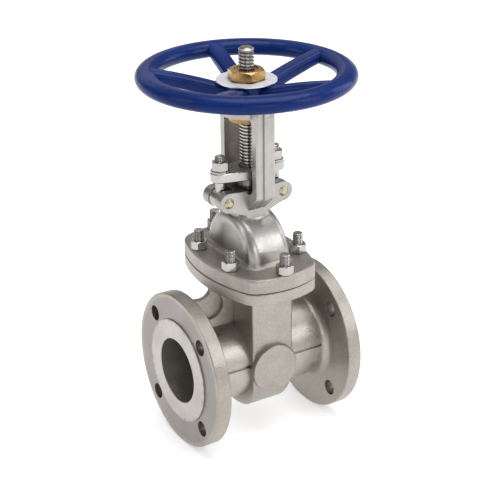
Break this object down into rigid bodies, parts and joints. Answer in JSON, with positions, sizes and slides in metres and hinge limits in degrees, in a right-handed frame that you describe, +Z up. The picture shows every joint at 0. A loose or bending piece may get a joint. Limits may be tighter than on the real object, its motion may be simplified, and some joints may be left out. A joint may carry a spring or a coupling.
{
  "type": "gate valve",
  "caption": "Flanged gate valve with a rising stem in an outside yoke: turning the spoked handwheel lifts a wedge out of the flow bore",
  "frame": {"origin": "on the floor, under the stem, at the middle of the two end-flange rims the valve stands on", "axes": "+X runs along the flow from the inlet flange to the outlet flange, +Z runs up the stem, +Y completes the right-handed frame"},
  "size_m": [0.2522, 0.2522, 0.4773],
  "materials": {
    "cast_body": "investment-cast stainless steel, blasted to a soft satin grain",
    "seat_inlet": "lapped stainless seat face",
    "seat_outlet": "lapped stainless seat face",
    "gate_metal": "machined and lapped stainless steel",
    "stem_metal": "turned stainless bar with a lightly greased thread",
    "gasket_graphite": "graphite sheet, matt",
    "cast_bonnet": "investment-cast stainless steel, vibratory-polished satin",
    "stud_metal": "rolled stainless stud thread",
    "nut_metal": "bright cold-formed stainless nut",
    "bush_metal": "turned stainless steel",
    "packing_graphite": "braided graphite, compressed",
    "follower_metal": "turned stainless steel",
    "gland_metal": "cast stainless steel, polished satin",
    "eyebolt_inlet_metal": "forged stainless swing bolt",
    "eyebolt_outlet_metal": "forged stainless swing bolt",
    "pin_metal": "steel pin with a pale yellow passivated coat",
    "washer_metal": "stamped stainless washer",
    "gland_nut_metal": "bright cold-formed stainless nut",
    "sleeve_bronze": "turned bronze",
    "thrust_lower_bronze": "bronze washer",
    "thrust_upper_bronze": "bronze washer",
    "wheel_paint": "glossy royal-blue baked paint over cast iron",
    "key_metal": "bright key steel",
    "plate_metal": "plain bright aluminium disc",
    "wheel_nut_brass": "machined brass hexagon, lightly dulled"
  },
  "bodies": {
    "valve": {"body": "cast_body", "seat_ring_inlet": "seat_inlet", "seat_ring_outlet": "seat_outlet", "bonnet_gasket": "gasket_graphite", "bonnet_yoke": "cast_bonnet", "bonnet_studs": "stud_metal", "bonnet_nuts": "nut_metal", "backseat_bush": "bush_metal", "packing_rings": "packing_graphite", "gland_follower": "follower_metal", "gland_flange": "gland_metal", "eyebolt_inlet": "eyebolt_inlet_metal", "eyebolt_outlet": "eyebolt_outlet_metal", "eyebolt_pins": "pin_metal", "gland_washers": "washer_metal", "gland_nuts": "gland_nut_metal", "thrust_washer_lower": "thrust_lower_bronze", "thrust_washer_upper": "thrust_upper_bronze"},
    "gate": {"stem": "stem_metal", "wedge": "gate_metal"},
    "wheel": {"handwheel": "wheel_paint", "handwheel_nut": "wheel_nut_brass", "nameplate": "plate_metal", "handwheel_key": "key_metal", "yoke_sleeve": "sleeve_bronze"}
  },
  "joints": [
    {"name": "handwheel_turn", "type": "hinge", "parent": "valve", "child": "wheel", "pos_m": [0, 0, 0.42], "axis": [0, 0, 1], "range_deg": [0, 7560]},
    {"name": "stem_lift", "type": "slide", "parent": "valve", "child": "gate", "axis": [0, 0, 1], "range_m": [0, 0.08402]}
  ],
  "couplings": [
    {"joint": "stem_lift", "follows": "handwheel_turn", "m_per_rad": 0.00063662}
  ]
}
